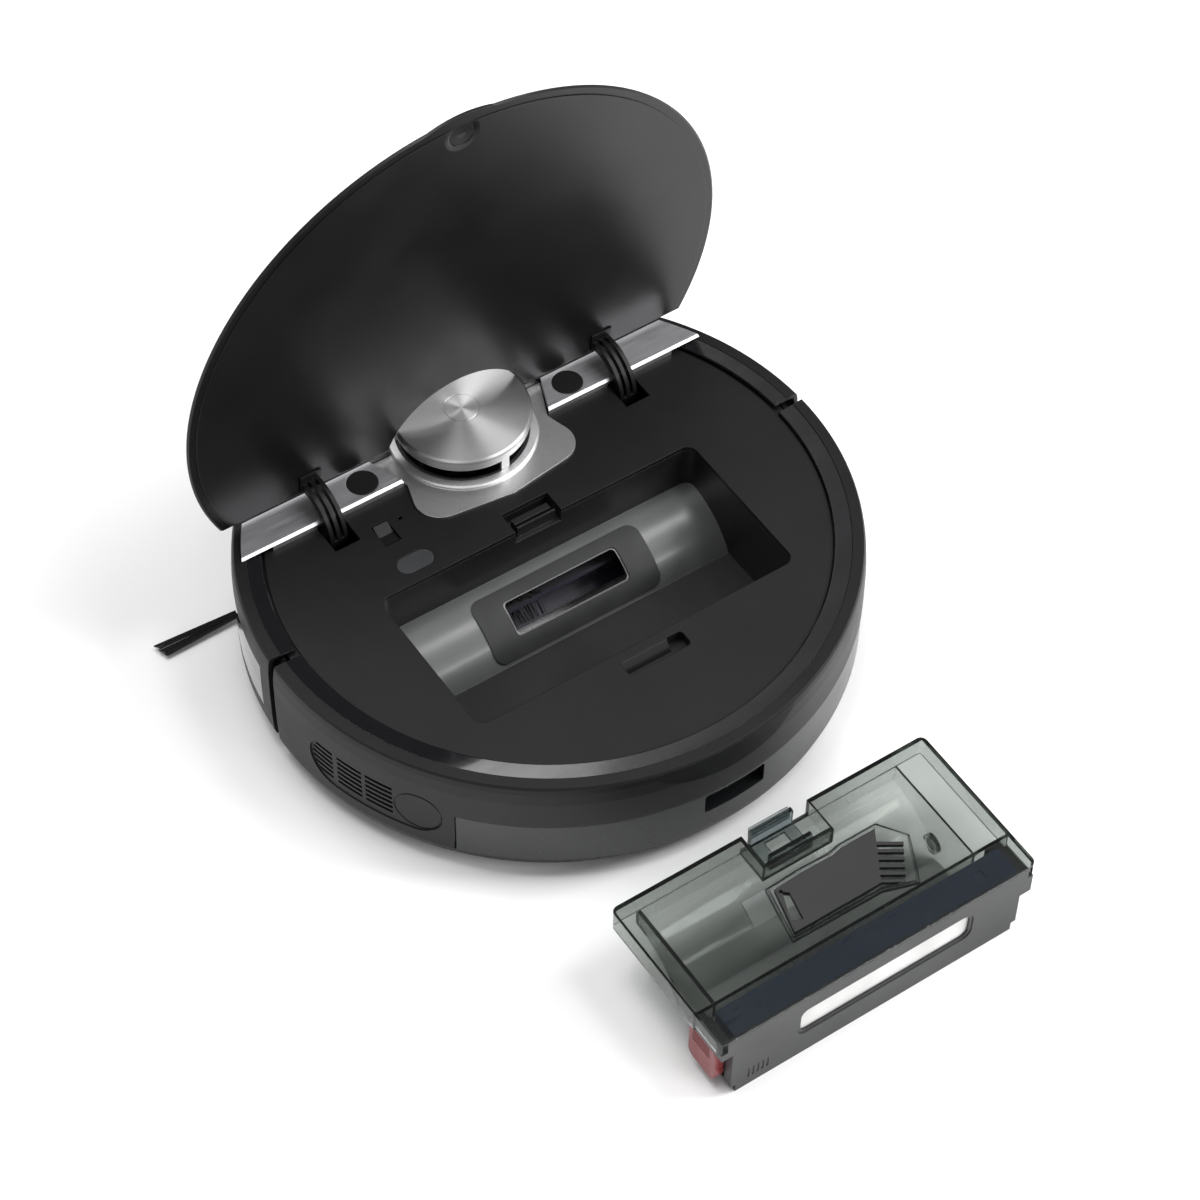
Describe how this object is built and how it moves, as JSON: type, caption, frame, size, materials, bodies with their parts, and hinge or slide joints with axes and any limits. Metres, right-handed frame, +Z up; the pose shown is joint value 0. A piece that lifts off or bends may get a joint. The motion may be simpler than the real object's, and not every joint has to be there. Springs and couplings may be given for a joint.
{
  "type": "robot vacuum cleaner",
  "caption": "Round floor-cleaning robot with a raised scanner turret, a hinged lid shown open, and a lift-out dust box standing beside it.",
  "frame": {"origin": "point on the floor under the axis of the round body", "axes": "+X along the hinge bar to the robot's right as seen from behind, +Y to the robot's front, +Z up"},
  "size_m": [0.3727, 0.4829, 0.3278],
  "materials": {
    "satin_black": "satin",
    "gloss_black": "gloss",
    "dark_lid": "gloss",
    "matte_black": "matte",
    "inner_plastic": "matte",
    "silver_bar": "satin",
    "silver_cap": "brushed",
    "steel": "satin",
    "copper_contact": "satin",
    "seal_rubber": "matte",
    "tyre_rubber": "matte",
    "bristle": "matte",
    "brush_rubber": "matte",
    "board": "satin",
    "cell_wrap": "satin",
    "sensor_window": "gloss",
    "grey_button": "satin",
    "smoky_clear": "satin",
    "tub_grey": "satin",
    "filter_blue": "satin",
    "filter_white": "matte",
    "latch_red": "satin",
    "tank_smoke": "satin"
  },
  "bodies": {
    "robot": {"base_plate": "matte_black", "inner_frame": "matte_black", "bay_frame": "inner_plastic", "rear_shell": "satin_black", "rim_trim": "gloss_black", "top_deck": "matte_black", "front_cover": "dark_lid", "hinge_bar": "silver_bar", "bar_caps": "matte_black", "turret_base": "silver_bar", "turret_cap": "silver_cap", "lidar_base": "inner_plastic", "inlet_seal": "seal_rubber", "air_duct": "inner_plastic", "fan_housing": "inner_plastic", "battery_pack": "cell_wrap", "main_board": "board", "brush_frame": "inner_plastic", "brush_gearboxes": "inner_plastic", "brush_motor": "steel", "cliff_windows": "sensor_window", "charge_contacts": "copper_contact", "screws_and_pins": "steel"},
    "lid": {"lid_panel": "dark_lid", "lid_liner": "satin_black", "lid_arms": "matte_black"},
    "bumper": {"bumper_shell": "satin_black", "bumper_window": "sensor_window"},
    "left_suspension": {"left_gearbox": "inner_plastic", "left_wheel_motor": "steel"},
    "left_wheel": {"left_hub": "inner_plastic", "left_tyre": "tyre_rubber"},
    "right_suspension": {"right_gearbox": "inner_plastic", "right_wheel_motor": "steel"},
    "right_wheel": {"right_hub": "inner_plastic", "right_tyre": "tyre_rubber"},
    "caster_swivel": {"caster_fork": "inner_plastic"},
    "caster": {"caster_wheel": "grey_button"},
    "side_brush": {"side_brush_hub": "matte_black", "side_brush_bristles": "bristle"},
    "main_brush": {"main_brush_core": "inner_plastic", "main_brush_fins": "brush_rubber"},
    "scanner": {"lidar_rotor": "gloss_black"},
    "impeller": {"fan_impeller": "grey_button"},
    "power_rocker": {"power_switch": "grey_button"},
    "reset": {"reset_button": "matte_black"},
    "start": {"start_button": "grey_button"},
    "home": {"home_button": "grey_button"},
    "tank": {"water_tank": "tank_smoke"},
    "tank_release": {"tank_button": "grey_button"},
    "bin_swing_carrier": {"pump_motor": "steel"},
    "bin_reach_carrier": {"bin_magnet": "steel"},
    "dust_box": {"bin_tub": "smoky_clear", "bin_frame": "tub_grey", "bin_filter": "filter_blue", "filter_media": "filter_white"},
    "dust_box_cover": {"bin_cover": "smoky_clear"},
    "clip": {"bin_clip": "smoky_clear"},
    "red_latch": {"bin_latch": "latch_red"},
    "tool": {"cleaning_tool": "matte_black"}
  },
  "joints": [
    {"name": "lid_hinge", "type": "hinge", "parent": "robot", "child": "lid", "pos_m": [0, 0.0863, 0.0709], "axis": [1, 0, 0], "range_deg": [0, 86.4]},
    {"name": "bumper_press", "type": "slide", "parent": "robot", "child": "bumper", "axis": [0, -1, 0], "range_m": [0, 0.0035], "stiffness_N_per_m": 600, "springref_m": -0.0005},
    {"name": "left_suspension_arm", "type": "hinge", "parent": "robot", "child": "left_suspension", "pos_m": [-0.14, 0.044, 0.048], "axis": [1, 0, 0], "range_deg": [0, 9]},
    {"name": "right_suspension_arm", "type": "hinge", "parent": "robot", "child": "right_suspension", "pos_m": [0.14, 0.044, 0.048], "axis": [1, 0, 0], "range_deg": [0, 9]},
    {"name": "left_wheel_spin", "type": "hinge", "parent": "left_suspension", "child": "left_wheel", "pos_m": [-0.123, -0.004, 0.035], "axis": [1, 0, 0], "continuous": true},
    {"name": "right_wheel_spin", "type": "hinge", "parent": "right_suspension", "child": "right_wheel", "pos_m": [0.123, -0.004, 0.035], "axis": [1, 0, 0], "continuous": true},
    {"name": "caster_turn", "type": "hinge", "parent": "robot", "child": "caster_swivel", "pos_m": [0, 0.128, 0.03], "axis": [0, 0, 1], "continuous": true},
    {"name": "caster_roll", "type": "hinge", "parent": "caster_swivel", "child": "caster", "pos_m": [0, 0.122, 0.014], "axis": [1, 0, 0], "continuous": true},
    {"name": "side_brush_spin", "type": "hinge", "parent": "robot", "child": "side_brush", "pos_m": [-0.116, 0.0965, 0.006], "axis": [0, 0, 1], "continuous": true},
    {"name": "main_brush_spin", "type": "hinge", "parent": "robot", "child": "main_brush", "pos_m": [0, 0.014, 0.0205], "axis": [1, 0, 0], "continuous": true},
    {"name": "scanner_spin", "type": "hinge", "parent": "robot", "child": "scanner", "pos_m": [0, 0.089, 0.08], "axis": [0, 0, 1], "continuous": true},
    {"name": "impeller_spin", "type": "hinge", "parent": "robot", "child": "impeller", "pos_m": [-0.129, -0.071, 0.045], "axis": [0, 0, 1], "continuous": true},
    {"name": "power_rock", "type": "hinge", "parent": "robot", "child": "power_rocker", "pos_m": [-0.074, 0.05, 0.072], "axis": [1, 0, 0], "range_deg": [0, 9]},
    {"name": "reset_press", "type": "slide", "parent": "robot", "child": "reset", "axis": [0, 0, -1], "range_m": [0, 0.001], "stiffness_N_per_m": 400, "springref_m": -0.0005},
    {"name": "start_press", "type": "slide", "parent": "robot", "child": "start", "axis": [0, 0, -1], "range_m": [0, 0.0008], "stiffness_N_per_m": 400, "springref_m": -0.0005},
    {"name": "home_press", "type": "slide", "parent": "robot", "child": "home", "axis": [0, 0, -1], "range_m": [0, 0.0008], "stiffness_N_per_m": 400, "springref_m": -0.0005},
    {"name": "tank_pull", "type": "slide", "parent": "robot", "child": "tank", "axis": [0, -1, 0], "range_m": [0, 0.031]},
    {"name": "tank_release_press", "type": "slide", "parent": "tank", "child": "tank_release", "axis": [0, 1, 0], "range_m": [0, 0.0018], "stiffness_N_per_m": 400, "springref_m": -0.0005},
    {"name": "bin_swing", "type": "hinge", "parent": "robot", "child": "bin_swing_carrier", "pos_m": [0, -0.139, 0.0575], "axis": [-1, 0, 0], "range_deg": [0, 180]},
    {"name": "bin_reach", "type": "slide", "parent": "bin_swing_carrier", "child": "bin_reach_carrier", "axis": [0, 0, 1], "range_m": [0, 0.066]},
    {"name": "bin_level", "type": "hinge", "parent": "bin_reach_carrier", "child": "dust_box", "pos_m": [0, -0.249, 0.014], "axis": [-1, 0, 0], "range_deg": [-180, 0]},
    {"name": "cover_hinge", "type": "hinge", "parent": "dust_box", "child": "dust_box_cover", "pos_m": [0.1005, -0.249, 0.039], "axis": [0, -1, 0], "range_deg": [-80, 0]},
    {"name": "clip_press", "type": "slide", "parent": "dust_box_cover", "child": "clip", "axis": [0, 1, 0], "range_m": [-0.0018, 0], "stiffness_N_per_m": 500, "springref_m": 0.0005},
    {"name": "latch_press", "type": "slide", "parent": "dust_box", "child": "red_latch", "axis": [-1, 0, 0], "range_m": [-0.0014, 0], "stiffness_N_per_m": 500, "springref_m": 0.0005},
    {"name": "tool_lift", "type": "slide", "parent": "dust_box_cover", "child": "tool", "axis": [0, 0, -1], "range_m": [-0.03, 0]}
  ],
  "couplings": [
    {"joint": "bin_level", "follows": "bin_swing", "ratio": -1}
  ]
}
